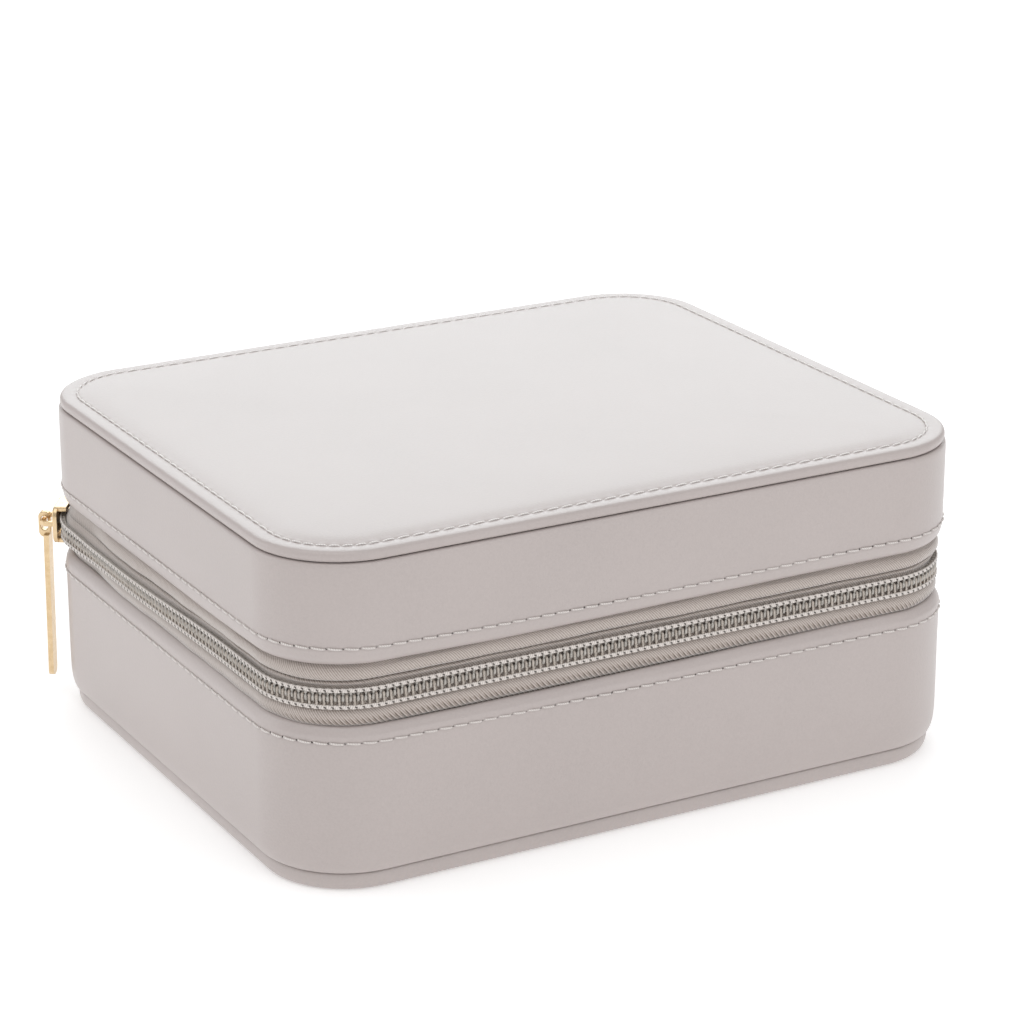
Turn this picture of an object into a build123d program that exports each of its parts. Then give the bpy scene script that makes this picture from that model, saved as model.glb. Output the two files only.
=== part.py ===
"""Travel jewelry case: a rounded soft-covered box with a zipped, padded, hinged lid.

Frame: origin at the centre of the resting face, +X along the long side (to the right),
+Y towards the hinge side, +Z up. Millimetres.

The wall is a stack of layers. Every ring is given by its inset from the outer outline:
cover (leather), board, foam, lining. The zip runs round the left, front and right
sides, from the left end of the hinge spine to the right end.
"""
from build123d import *
import os
from math import cos, sin, radians

os.makedirs("parts", exist_ok=True)

# ---------------------------------------------------------------- driving dimensions
LENGTH = 180.0            # outer size along X
WIDTH = 151.0             # outer size along Y
HEIGHT = 81.0             # to the top of the lid panel's rim
CORNER_R = 22.0           # plan corner radius of the outer walls
GAP = 0.05                # glue gap between neighbouring layers

COVER_T = 1.0             # leather cover thickness, turned edges included
EDGE_ROLL_R = 1.6         # rounding where the cover turns inwards
LIP_INSET = 2.3           # how far in a turned edge reaches

BOTTOM_RIM_Z = 4.5        # top of the bottom panel's rim
BOTTOM_INSET = 1.6        # the bottom panel stands in from the walls
BOTTOM_SKIN = 1.0

BASE_COVER_Z0 = 4.6
BASE_COVER_Z1 = 40.8      # the base's edge below the zip
LID_COVER_Z0 = 55.5       # the lid's edge above the zip
LID_COVER_Z1 = 78.4
PARTING_Z = 46.8          # middle of the zip chain

BOARD_IN, BOARD_OUT = 3.05, 1.05      # wall boards, insets
FOAM_IN, FOAM_OUT = 5.3, 3.1          # wall padding
LINING_IN, LINING_OUT = 6.8, 5.4      # inner lining walls
FLANGE_OUT = 3.15                     # the lining turns over the wall edge to here

TAPE_IN, TAPE_OUT = 3.0, 2.4          # zip tape
COIL_IN, COIL_OUT = 2.35, 1.0         # zip coil
COIL_HALF = 3.0                       # coil and its stitch rows, from the parting line
SPINE_HALF_X = 60.0                   # half width of the hinge spine
TAPE_END_X = 61.5                     # where each tape ends on the back

SLIDER_PHI = 34.0         # where the slider stands on the back left corner, from the left wall
SLIDER_L = 12.0
SLIDER_W = 9.4
PLATE_T = 1.15            # slider plate thickness
PLATE_PROUD = 1.15        # inner face of the outer plate, proud of the wall
CHANNEL_IN = 3.8          # inset of the inner plate's face
BAIL_PROUD = 5.45         # bail wire's centre, proud of the wall
PULL_LENGTH = 41.7        # bail centre to the pull's tip

TRAY_INSET = 7.6
TRAY_RELIEF = 2.2         # the tray's corners are rounder than the lining's
TRAY_Z0, TRAY_Z1 = 21.9, 43.3
TRAY_WALL = 1.5
LEDGE_IN, LEDGE_OUT = 9.3, 6.85
LOWER_Z0, LOWER_Z1 = 5.75, 21.7
DIVIDER_T = 2.0

ROLL_D = 12.6
ROLL_PITCH = 14.6
ROLL_L = 83.0

# ---------------------------------------------------------------- helpers
CORNER = (-(LENGTH / 2 - CORNER_R), WIDTH / 2 - CORNER_R)   # centre of the back left corner


def outline(inset):
    """The case's plan outline, moved in by inset, inside the sketch being built."""
    RectangleRounded(LENGTH - 2 * inset, WIDTH - 2 * inset, CORNER_R - inset)


def ring(outer, inner):
    """A band of wall between two insets."""
    outline(outer)
    RectangleRounded(LENGTH - 2 * inner, WIDTH - 2 * inner, CORNER_R - inner, mode=Mode.SUBTRACT)


def tray_outline(inset):
    """The tray's plan outline: the case's outline with rounder corners."""
    RectangleRounded(LENGTH - 2 * inset, WIDTH - 2 * inset, CORNER_R - inset + TRAY_RELIEF)


def back_left_cut(phi, x_end):
    """Plan area behind the slider: from angle phi on the back left corner to x_end on the back."""
    px = CORNER[0] - 60 * cos(radians(phi))
    py = CORNER[1] + 60 * sin(radians(phi))
    Polygon(CORNER, (px, py), (px, 95), (x_end, 95), (x_end, CORNER[1]), align=None)


def corner_plane(phi, proud=0.0, z=PARTING_Z):
    """Plane on the back left corner: X towards the left wall, Y up, Z straight out."""
    n = (-cos(radians(phi)), sin(radians(phi)))
    r = CORNER_R + proud
    return Plane(
        origin=(CORNER[0] + r * n[0], CORNER[1] + r * n[1], z),
        x_dir=(-n[1], n[0], 0),
        z_dir=(n[0], n[1], 0),
    )


# ================================================================ base
# bottom panel: leather over a board, its edge rounded, flat underneath
with BuildPart() as bottom_panel:
    with BuildSketch():
        outline(BOTTOM_INSET)
    extrude(amount=BOTTOM_RIM_Z)
    fillet(bottom_panel.edges().group_by(Axis.Z)[-1], 1.0)
    fillet(bottom_panel.edges().group_by(Axis.Z)[0], 1.6)
    with BuildSketch(Plane.XY.offset(BOTTOM_SKIN)):
        outline(BOTTOM_INSET + 3.0)
    extrude(amount=BOTTOM_RIM_Z, mode=Mode.SUBTRACT)
bottom_panel.part.label = "bottom_panel"

with BuildPart() as floor_board:
    with BuildSketch(Plane.XY.offset(BOTTOM_SKIN + GAP)):
        outline(BOTTOM_INSET + 3.0 + GAP)
    extrude(amount=BOTTOM_RIM_Z - BOTTOM_SKIN - GAP)
floor_board.part.label = "floor_board"

with BuildPart() as floor_lining:
    with BuildSketch(Plane.XY.offset(BOTTOM_RIM_Z + GAP)):
        outline(LINING_OUT)
    extrude(amount=1.15)
floor_lining.part.label = "floor_lining"

# side cover: one leather wall with both edges turned in
with BuildPart() as base_side_cover:
    with BuildSketch(Plane.XY.offset(BASE_COVER_Z0)):
        outline(0)
    extrude(amount=BASE_COVER_Z1 - BASE_COVER_Z0)
    fillet(base_side_cover.edges().group_by(Axis.Z)[-1], EDGE_ROLL_R)
    fillet(base_side_cover.edges().group_by(Axis.Z)[0], EDGE_ROLL_R)
    with BuildSketch(Plane.XY.offset(BASE_COVER_Z0 + COVER_T)):
        outline(COVER_T)
    extrude(amount=BASE_COVER_Z1 - BASE_COVER_Z0 - 2 * COVER_T, mode=Mode.SUBTRACT)
    with BuildSketch(Plane.XY.offset(BASE_COVER_Z0)):
        outline(LIP_INSET)
    extrude(amount=BASE_COVER_Z1 - BASE_COVER_Z0, mode=Mode.SUBTRACT)
base_side_cover.part.label = "base_side_cover"

with BuildPart() as base_wall_board:
    with BuildSketch(Plane.XY.offset(BASE_COVER_Z0 + COVER_T + GAP)):
        ring(BOARD_OUT, BOARD_IN)
    extrude(amount=35.1 - (BASE_COVER_Z0 + COVER_T + GAP))
base_wall_board.part.label = "base_wall_board"

with BuildPart() as base_wall_foam:
    with BuildSketch(Plane.XY.offset(BOTTOM_RIM_Z + GAP)):
        ring(FOAM_OUT, FOAM_IN)
    extrude(amount=39.5 - BOTTOM_RIM_Z - GAP)
base_wall_foam.part.label = "base_wall_foam"

# lining wall with a flange that covers the top of the padding
with BuildPart() as base_wall_lining:
    with BuildSketch(Plane.XY.offset(LOWER_Z0)):
        ring(LINING_OUT, LINING_IN)
    extrude(amount=40.6 - LOWER_Z0)
    with BuildSketch(Plane.XY.offset(39.6)):
        ring(FLANGE_OUT, LINING_IN)
    extrude(amount=1.0)
base_wall_lining.part.label = "base_wall_lining"

# lower compartment: a ledge all round that carries the tray, and its dividers
with BuildPart() as tray_ledge:
    with BuildSketch(Plane.XY.offset(LOWER_Z0)):
        ring(LEDGE_OUT, LEDGE_IN)
    extrude(amount=LOWER_Z1 - LOWER_Z0)
tray_ledge.part.label = "tray_ledge"

LOWER_X = LENGTH / 2 - LEDGE_IN - GAP
LOWER_Y = WIDTH / 2 - LEDGE_IN - GAP
with BuildPart() as lower_divider_long:
    with BuildSketch(Plane.XY.offset(LOWER_Z0)):
        Rectangle(2 * LOWER_X, DIVIDER_T)
    extrude(amount=LOWER_Z1 - LOWER_Z0)
    fillet(lower_divider_long.edges().filter_by(Axis.X).group_by(Axis.Z)[-1], 0.6)
lower_divider_long.part.label = "lower_divider_long"

with BuildPart() as lower_divider_left:
    with BuildSketch(Plane.XY.offset(LOWER_Z0)):
        with Locations((-28, -(LOWER_Y + DIVIDER_T / 2 + GAP) / 2)):
            Rectangle(DIVIDER_T, LOWER_Y - DIVIDER_T / 2 - GAP)
    extrude(amount=LOWER_Z1 - LOWER_Z0)
    fillet(lower_divider_left.edges().filter_by(Axis.Y).group_by(Axis.Z)[-1], 0.6)
lower_divider_left.part.label = "lower_divider_left"

with BuildPart() as lower_divider_right:
    with BuildSketch(Plane.XY.offset(LOWER_Z0)):
        with Locations((28, -(LOWER_Y + DIVIDER_T / 2 + GAP) / 2)):
            Rectangle(DIVIDER_T, LOWER_Y - DIVIDER_T / 2 - GAP)
    extrude(amount=LOWER_Z1 - LOWER_Z0)
    fillet(lower_divider_right.edges().filter_by(Axis.Y).group_by(Axis.Z)[-1], 0.6)
lower_divider_right.part.label = "lower_divider_right"

# ================================================================ zip chain
NOTCH = 1.6               # the tape edges part round the slider's wedge

with BuildPart() as zipper_tape_lower:
    with BuildSketch(Plane.XY.offset(35.3)):
        ring(TAPE_OUT, TAPE_IN)
        with Locations((0, WIDTH / 2)):
            Rectangle(2 * TAPE_END_X, 30, mode=Mode.SUBTRACT)
    extrude(amount=PARTING_Z - 0.3 - 35.3)
    with BuildSketch(Plane.XY.offset(PARTING_Z - NOTCH)):
        back_left_cut(43, -TAPE_END_X + 1)
    extrude(amount=2 * NOTCH, mode=Mode.SUBTRACT)
zipper_tape_lower.part.label = "zipper_tape_lower"

with BuildPart() as zipper_tape_upper:
    with BuildSketch(Plane.XY.offset(PARTING_Z + 0.3)):
        ring(TAPE_OUT, TAPE_IN)
        with Locations((0, WIDTH / 2)):
            Rectangle(2 * TAPE_END_X, 30, mode=Mode.SUBTRACT)
    extrude(amount=59.1 - PARTING_Z - 0.3)
    with BuildSketch(Plane.XY.offset(PARTING_Z - NOTCH)):
        back_left_cut(43, -TAPE_END_X + 1)
    extrude(amount=2 * NOTCH, mode=Mode.SUBTRACT)
zipper_tape_upper.part.label = "zipper_tape_upper"

with BuildPart() as zipper_coil_lower:
    with BuildSketch(Plane.XY.offset(PARTING_Z - COIL_HALF)):
        ring(COIL_OUT, COIL_IN)
    extrude(amount=COIL_HALF - 0.05)
    with BuildSketch(Plane.XY.offset(PARTING_Z - COIL_HALF - 1)):
        back_left_cut(38, 64.5)
    extrude(amount=2 * COIL_HALF + 2, mode=Mode.SUBTRACT)
zipper_coil_lower.part.label = "zipper_coil_lower"

with BuildPart() as zipper_coil_upper:
    with BuildSketch(Plane.XY.offset(PARTING_Z + 0.05)):
        ring(COIL_OUT, COIL_IN)
    extrude(amount=COIL_HALF - 0.05)
    with BuildSketch(Plane.XY.offset(PARTING_Z - COIL_HALF - 1)):
        back_left_cut(38, 64.5)
    extrude(amount=2 * COIL_HALF + 2, mode=Mode.SUBTRACT)
zipper_coil_upper.part.label = "zipper_coil_upper"

# crimped metal stops: one on each tape where the zip closes, one across both at its start
with BuildPart() as zipper_stop_lower:
    with BuildSketch(corner_plane(57, -COIL_IN)):
        with Locations((0, -2.6)):
            RectangleRounded(2.4, 1.8, 0.5)
    extrude(amount=1.15)
zipper_stop_lower.part.label = "zipper_stop_lower"

with BuildPart() as zipper_stop_upper:
    with BuildSketch(corner_plane(57, -COIL_IN)):
        with Locations((0, 2.6)):
            RectangleRounded(2.4, 1.8, 0.5)
    extrude(amount=1.15)
zipper_stop_upper.part.label = "zipper_stop_upper"

with BuildPart() as zipper_bottom_stop:
    with BuildSketch(Plane(origin=(63.2, WIDTH / 2 - COIL_IN, PARTING_Z), x_dir=(1, 0, 0), z_dir=(0, 1, 0))):
        RectangleRounded(2.2, 6.4, 0.6)
    extrude(amount=1.35)
zipper_bottom_stop.part.label = "zipper_bottom_stop"

# ================================================================ hinge
with BuildPart() as hinge_spine:
    with BuildSketch(Plane.XY.offset(35.3)):
        with Locations((0, WIDTH / 2 - (2.3 + 3.0) / 2)):
            Rectangle(2 * SPINE_HALF_X, 0.7)
    extrude(amount=24.0)
hinge_spine.part.label = "hinge_spine"

with BuildPart() as hinge_lining:
    with BuildSketch(Plane.XY.offset(40.65)):
        with Locations((0, WIDTH / 2 - 3.45)):
            Rectangle(2 * SPINE_HALF_X + 6, 0.6)
    extrude(amount=15.0)
hinge_lining.part.label = "hinge_lining"

# ================================================================ lid
with BuildPart() as lid_side_cover:
    with BuildSketch(Plane.XY.offset(LID_COVER_Z0)):
        outline(0)
    extrude(amount=LID_COVER_Z1 - LID_COVER_Z0)
    fillet(lid_side_cover.edges().group_by(Axis.Z)[-1], 0.8)
    fillet(lid_side_cover.edges().group_by(Axis.Z)[0], EDGE_ROLL_R)
    with BuildSketch(Plane.XY.offset(LID_COVER_Z0 + COVER_T)):
        outline(COVER_T)
    extrude(amount=LID_COVER_Z1 - LID_COVER_Z0, mode=Mode.SUBTRACT)
    with BuildSketch(Plane.XY.offset(LID_COVER_Z0)):
        outline(LIP_INSET)
    extrude(amount=LID_COVER_Z1 - LID_COVER_Z0, mode=Mode.SUBTRACT)
lid_side_cover.part.label = "lid_side_cover"

# the padded top panel: a leather sheet with a rolled rim, hollow below for its padding
with BuildPart() as lid_top_panel:
    with BuildSketch(Plane.XY.offset(LID_COVER_Z1 + GAP)):
        outline(0.4)
    extrude(amount=HEIGHT - LID_COVER_Z1 - GAP)
    fillet(lid_top_panel.edges().group_by(Axis.Z)[-1], 1.3)
    fillet(lid_top_panel.edges().group_by(Axis.Z)[0], 1.0)
    with BuildSketch(Plane.XY.offset(LID_COVER_Z1)):
        outline(3.5)
    extrude(amount=80.0 - LID_COVER_Z1, mode=Mode.SUBTRACT)
lid_top_panel.part.label = "lid_top_panel"

with BuildPart() as lid_top_foam:
    with BuildSketch(Plane.XY.offset(LID_COVER_Z1 + GAP)):
        outline(3.55)
    extrude(amount=1.5)
lid_top_foam.part.label = "lid_top_foam"

with BuildPart() as lid_top_board:
    with BuildSketch(Plane.XY.offset(76.3)):
        outline(COVER_T + GAP)
    extrude(amount=2.05)
lid_top_board.part.label = "lid_top_board"

with BuildPart() as lid_wall_board:
    with BuildSketch(Plane.XY.offset(59.3)):
        ring(BOARD_OUT, BOARD_IN)
    extrude(amount=16.95)
lid_wall_board.part.label = "lid_wall_board"

with BuildPart() as lid_wall_foam:
    with BuildSketch(Plane.XY.offset(56.8)):
        ring(FOAM_OUT, FOAM_IN)
    extrude(amount=19.45)
lid_wall_foam.part.label = "lid_wall_foam"

with BuildPart() as lid_wall_lining:
    with BuildSketch(Plane.XY.offset(55.7)):
        ring(LINING_OUT, LINING_IN)
    extrude(amount=74.85 - 55.7)
    with BuildSketch(Plane.XY.offset(55.7)):
        ring(FLANGE_OUT, LINING_IN)
    extrude(amount=1.0)
lid_wall_lining.part.label = "lid_wall_lining"

with BuildPart() as lid_ceiling_lining:
    with BuildSketch(Plane.XY.offset(74.9)):
        outline(LINING_OUT)
    extrude(amount=1.35)
lid_ceiling_lining.part.label = "lid_ceiling_lining"

# mirror in its frame, glued under the ceiling
MIRROR_L, MIRROR_W, MIRROR_R = 140.0, 104.0, 7.0
with BuildPart() as mirror:
    with BuildSketch(Plane.XY.offset(73.3)):
        RectangleRounded(MIRROR_L, MIRROR_W, MIRROR_R)
    extrude(amount=1.5)
mirror.part.label = "mirror"

with BuildPart() as mirror_frame:
    with BuildSketch(Plane.XY.offset(72.5)):
        RectangleRounded(MIRROR_L + 10, MIRROR_W + 10, MIRROR_R + 5)
    extrude(amount=2.35)
    fillet(mirror_frame.edges().group_by(Axis.Z)[0], 0.9)
    with BuildSketch(Plane.XY.offset(73.25)):
        RectangleRounded(MIRROR_L + 0.2, MIRROR_W + 0.2, MIRROR_R + 0.1)
    extrude(amount=2.0, mode=Mode.SUBTRACT)
    with BuildSketch(Plane.XY.offset(72.3)):
        RectangleRounded(MIRROR_L - 4, MIRROR_W - 4, MIRROR_R - 2)
    extrude(amount=2.0, mode=Mode.SUBTRACT)
mirror_frame.part.label = "mirror_frame"

# ================================================================ slider and pull
# two plates joined by the wedge at the closing end; the tapes leave through the side slots
with BuildPart() as slider_body:
    with BuildSketch(corner_plane(SLIDER_PHI, PLATE_PROUD)):
        RectangleRounded(SLIDER_L, SLIDER_W, 2.4)
    extrude(amount=PLATE_T)
    fillet(slider_body.edges().group_by(Axis((0, 0, 0), tuple(corner_plane(SLIDER_PHI).z_dir)))[-1], 0.45)
    # side flanges of the outer plate
    with BuildSketch(corner_plane(SLIDER_PHI, -1.0)):
        with Locations((0, SLIDER_W / 2 - 0.65), (0, -SLIDER_W / 2 + 0.65)):
            RectangleRounded(SLIDER_L - 3.2, 1.3, 0.4)
    extrude(amount=PLATE_PROUD + 1.1)
    # inner plate
    with BuildSketch(corner_plane(SLIDER_PHI, -CHANNEL_IN - PLATE_T)):
        RectangleRounded(SLIDER_L - 3.0, SLIDER_W, 2.4)
    extrude(amount=PLATE_T)
    # the wedge between the plates
    with BuildSketch(corner_plane(SLIDER_PHI, -CHANNEL_IN - 0.1)):
        with BuildLine():
            Polyline((-5.6, -1.2), (-4.6, -1.2), (-3.1, 0), (-4.6, 1.2), (-5.6, 1.2), close=True)
        make_face()
    extrude(amount=CHANNEL_IN + PLATE_PROUD + 0.2)
slider_body.part.label = "slider_body"

# bail: a small bridge along the slider that the pull hangs on
BAIL_FOOT = PLATE_PROUD + PLATE_T + GAP
with BuildPart() as slider_bail:
    with BuildSketch(
        Plane(
            origin=corner_plane(SLIDER_PHI).origin,
            x_dir=corner_plane(SLIDER_PHI).x_dir,
            z_dir=(0, 0, -1),
        )
    ) as bail_profile:
        with BuildLine():
            Polyline((-4.2, BAIL_FOOT), (-4.2, BAIL_PROUD - 0.55), (-3.1, BAIL_PROUD + 0.55), (3.1, BAIL_PROUD + 0.55),
                     (4.2, BAIL_PROUD - 0.55), (4.2, BAIL_FOOT), (2.9, BAIL_FOOT), (2.9, BAIL_PROUD - 0.95),
                     (2.5, BAIL_PROUD - 0.55), (-2.5, BAIL_PROUD - 0.55), (-2.9, BAIL_PROUD - 0.95), (-2.9, BAIL_FOOT),
                     close=True)
        make_face()
    extrude(amount=0.6, both=True)
    fillet(slider_bail.edges().filter_by(Axis.Z, reverse=True), 0.25)
slider_bail.part.label = "slider_bail"

# pull: an eye round the bail and one slender flat bar that hangs from it
pull_plane = Plane(
    origin=corner_plane(SLIDER_PHI, BAIL_PROUD).origin,
    x_dir=corner_plane(SLIDER_PHI).z_dir,
    z_dir=(-corner_plane(SLIDER_PHI).x_dir.X, -corner_plane(SLIDER_PHI).x_dir.Y, 0),
)
with BuildPart() as pull_tab:
    with BuildSketch(pull_plane):
        with Locations((0, -1.15)):
            SlotCenterToCenter(3.8, 3.0, rotation=90)
        with Locations((0, -0.85)):
            SlotCenterToCenter(1.9, 1.8, rotation=90, mode=Mode.SUBTRACT)
    extrude(amount=0.95, both=True)
    fillet(pull_tab.edges().group_by(Axis((0, 0, 0), tuple(pull_plane.z_dir)))[-1], 0.2)
    fillet(pull_tab.edges().group_by(Axis((0, 0, 0), tuple(pull_plane.z_dir)))[0], 0.2)
    with BuildSketch(pull_plane):
        with BuildLine():
            Polyline((-1.25, -3.7), (0.1, -3.7), (0.6, -PULL_LENGTH), (-0.7, -PULL_LENGTH), close=True)
        make_face()
    extrude(amount=2.1, both=True)
    tip = pull_tab.faces().sort_by(Axis.Z)[0]
    fillet(tip.edges().sort_by(SortBy.LENGTH)[:2], 1.7)
pull_tab.part.label = "pull_tab"

# ================================================================ lift-out tray
with BuildPart() as tray_shell:
    with BuildSketch(Plane.XY.offset(TRAY_Z0)):
        tray_outline(TRAY_INSET)
    extrude(amount=TRAY_Z1 - TRAY_Z0)
    fillet(tray_shell.edges().group_by(Axis.Z)[0], 0.8)
    with BuildSketch(Plane.XY.offset(TRAY_Z0 + TRAY_WALL)):
        tray_outline(TRAY_INSET + TRAY_WALL)
    extrude(amount=TRAY_Z1 - TRAY_Z0, mode=Mode.SUBTRACT)
    fillet(tray_shell.edges().group_by(Axis.Z)[-1], 0.6)
tray_shell.part.label = "tray_shell"

TRAY_FLOOR = TRAY_Z0 + TRAY_WALL
with BuildPart() as tray_floor_lining:
    with BuildSketch(Plane.XY.offset(TRAY_FLOOR + GAP)):
        tray_outline(TRAY_INSET + TRAY_WALL + 0.1)
    extrude(amount=0.8)
tray_floor_lining.part.label = "tray_floor_lining"

TRAY_X = LENGTH / 2 - TRAY_INSET - TRAY_WALL - 0.1
TRAY_Y = WIDTH / 2 - TRAY_INSET - TRAY_WALL - 0.1
DIV_Z0 = TRAY_FLOOR + 0.9
DIV_Z1 = 41.3
LONG_Y = 12.0             # the divider along the tray
FRONT_X = 8.0             # the divider right of the ring rolls
with BuildPart() as tray_divider_long:
    with BuildSketch(Plane.XY.offset(DIV_Z0)):
        with Locations((0, LONG_Y)):
            Rectangle(2 * TRAY_X, DIVIDER_T)
    extrude(amount=DIV_Z1 - DIV_Z0)
    fillet(tray_divider_long.edges().filter_by(Axis.X).group_by(Axis.Z)[-1], 0.7)
tray_divider_long.part.label = "tray_divider_long"

front_len = TRAY_Y + LONG_Y - DIVIDER_T / 2 - GAP
with BuildPart() as tray_divider_front:
    with BuildSketch(Plane.XY.offset(DIV_Z0)):
        with Locations((FRONT_X, -TRAY_Y + front_len / 2)):
            Rectangle(DIVIDER_T, front_len)
    extrude(amount=DIV_Z1 - DIV_Z0)
    fillet(tray_divider_front.edges().filter_by(Axis.Y).group_by(Axis.Z)[-1], 0.7)
tray_divider_front.part.label = "tray_divider_front"

side_len = TRAY_X - FRONT_X - DIVIDER_T / 2 - GAP
with BuildPart() as tray_divider_side:
    with BuildSketch(Plane.XY.offset(DIV_Z0)):
        with Locations((TRAY_X - side_len / 2, -27)):
            Rectangle(side_len, DIVIDER_T)
    extrude(amount=DIV_Z1 - DIV_Z0)
    fillet(tray_divider_side.edges().filter_by(Axis.X).group_by(Axis.Z)[-1], 0.7)
tray_divider_side.part.label = "tray_divider_side"

back_len = TRAY_Y - LONG_Y - DIVIDER_T / 2 - GAP
with BuildPart() as tray_divider_back_left:
    with BuildSketch(Plane.XY.offset(DIV_Z0)):
        with Locations((-27, TRAY_Y - back_len / 2)):
            Rectangle(DIVIDER_T, back_len)
    extrude(amount=DIV_Z1 - DIV_Z0)
    fillet(tray_divider_back_left.edges().filter_by(Axis.Y).group_by(Axis.Z)[-1], 0.7)
tray_divider_back_left.part.label = "tray_divider_back_left"

with BuildPart() as tray_divider_back_right:
    with BuildSketch(Plane.XY.offset(DIV_Z0)):
        with Locations((27, TRAY_Y - back_len / 2)):
            Rectangle(DIVIDER_T, back_len)
    extrude(amount=DIV_Z1 - DIV_Z0)
    fillet(tray_divider_back_right.edges().filter_by(Axis.Y).group_by(Axis.Z)[-1], 0.7)
tray_divider_back_right.part.label = "tray_divider_back_right"

# ring rolls: five padded rolls side by side on a thin bed
BED_X0 = -TRAY_X + 0.3
ROLL_X = BED_X0 + 1.0 + ROLL_L / 2
ROLL_Y0 = -TRAY_Y + 2.4 + ROLL_PITCH / 2
with BuildPart() as ring_roll_bed:
    with BuildSketch(Plane.XY.offset(DIV_Z0)):
        with Locations((ROLL_X, ROLL_Y0 + 2 * ROLL_PITCH)):
            RectangleRounded(ROLL_L, 5 * ROLL_PITCH, 12)
    extrude(amount=1.5)
ring_roll_bed.part.label = "ring_roll_bed"

ROLL_Z = DIV_Z0 + 1.5 + GAP
rolls = []
for i in range(5):
    with BuildPart() as ring_roll:
        with BuildSketch(
            Plane(origin=(ROLL_X - ROLL_L / 2 + (5.0 if i == 0 else 0), ROLL_Y0 + i * ROLL_PITCH, ROLL_Z),
                  x_dir=(0, 1, 0), z_dir=(1, 0, 0))
        ):
            with Locations((0, ROLL_D / 2)):
                Circle(ROLL_D / 2)
            with Locations((0, -1)):
                Rectangle(ROLL_D + 2, 2.8, mode=Mode.SUBTRACT)
        extrude(amount=ROLL_L - (5.0 if i == 0 else 0))
    ring_roll.part.label = f"ring_roll_{i + 1}"
    rolls.append(ring_roll)

# ribbon tabs that lift the tray out
RIBBON_X = LENGTH / 2 - TRAY_INSET - TRAY_WALL - 0.75
with BuildPart() as lift_ribbon_left:
    with BuildSketch(Plane.XY.offset(DIV_Z0 + 6)):
        with Locations((-RIBBON_X, 34)):
            Rectangle(0.7, 14)
    extrude(amount=46.3 - DIV_Z0 - 6)
lift_ribbon_left.part.label = "lift_ribbon_left"

with BuildPart() as lift_ribbon_right:
    with BuildSketch(Plane.XY.offset(DIV_Z0 + 6)):
        with Locations((RIBBON_X, 34)):
            Rectangle(0.7, 14)
    extrude(amount=46.3 - DIV_Z0 - 6)
lift_ribbon_right.part.label = "lift_ribbon_right"

# ================================================================ export
PIECES = [
    bottom_panel, floor_board, floor_lining, base_side_cover, base_wall_board, base_wall_foam,
    base_wall_lining, tray_ledge, lower_divider_long, lower_divider_left, lower_divider_right,
    zipper_tape_lower, zipper_tape_upper, zipper_coil_lower, zipper_coil_upper,
    zipper_stop_lower, zipper_stop_upper, zipper_bottom_stop, hinge_spine, hinge_lining,
    lid_side_cover, lid_top_panel, lid_top_foam, lid_top_board, lid_wall_board, lid_wall_foam,
    lid_wall_lining, lid_ceiling_lining, mirror, mirror_frame,
    slider_body, slider_bail, pull_tab,
    tray_shell, tray_floor_lining, tray_divider_long, tray_divider_front, tray_divider_side,
    tray_divider_back_left, tray_divider_back_right, ring_roll_bed, *rolls,
    lift_ribbon_left, lift_ribbon_right,
]
for piece in PIECES:
    export_step(piece.part, f"parts/{piece.part.label}.step")
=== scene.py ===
import math

import bpy
import numpy as np
from mathutils import Matrix, Vector, noise


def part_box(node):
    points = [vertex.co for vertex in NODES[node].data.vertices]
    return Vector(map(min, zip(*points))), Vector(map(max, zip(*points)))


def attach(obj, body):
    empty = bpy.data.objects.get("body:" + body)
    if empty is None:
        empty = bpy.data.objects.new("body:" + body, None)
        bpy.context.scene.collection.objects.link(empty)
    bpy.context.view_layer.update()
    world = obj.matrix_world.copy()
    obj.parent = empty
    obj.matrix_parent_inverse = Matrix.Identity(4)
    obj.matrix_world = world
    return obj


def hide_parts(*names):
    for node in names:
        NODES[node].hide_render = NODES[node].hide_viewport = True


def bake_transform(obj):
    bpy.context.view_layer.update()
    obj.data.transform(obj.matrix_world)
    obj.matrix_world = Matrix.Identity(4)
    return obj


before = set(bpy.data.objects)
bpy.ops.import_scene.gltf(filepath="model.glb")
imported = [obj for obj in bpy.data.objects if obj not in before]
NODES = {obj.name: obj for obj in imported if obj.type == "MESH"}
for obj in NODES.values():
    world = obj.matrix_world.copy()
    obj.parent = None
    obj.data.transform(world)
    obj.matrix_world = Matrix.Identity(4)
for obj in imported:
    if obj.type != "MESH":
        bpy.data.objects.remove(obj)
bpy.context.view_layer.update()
MM = 0.001

# ------------------------------------------------------------------ plan outline, from the frame
lo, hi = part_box("base_side_cover")
L, W = (hi[0] - lo[0]) / MM, (hi[1] - lo[1]) / MM
Z_BASE0, Z_BASE1 = lo[2] / MM, hi[2] / MM
llo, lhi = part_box("lid_side_cover")
Z_LID0, Z_LID1 = llo[2] / MM, lhi[2] / MM
plo, phi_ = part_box("lid_top_panel")
Z_TOP = phi_[2] / MM
clo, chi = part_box("zipper_coil_lower")
PART = chi[2] / MM + 0.05
R = 22.0
HX, HY = L / 2 - R, W / 2 - R
ARC = math.pi * R / 2
NX, NY = 276, 228                 # columns along a long and a short side, corner middle to corner middle
PER_STITCH = 6                    # columns to a stitch
SEGS = [
    (HX, "l", (0.0, HY), (-1, 0), (0, 1)),
    (ARC, "a", (-HX, HY), math.pi / 2),
    (2 * HY, "l", (-HX, HY), (0, -1), (-1, 0)),
    (ARC, "a", (-HX, -HY), math.pi),
    (2 * HX, "l", (-HX, -HY), (1, 0), (0, -1)),
    (ARC, "a", (HX, -HY), 1.5 * math.pi),
    (2 * HY, "l", (HX, -HY), (0, 1), (1, 0)),
    (ARC, "a", (HX, HY), 0.0),
    (HX, "l", (HX, HY), (-1, 0), (0, 1)),
]
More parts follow.
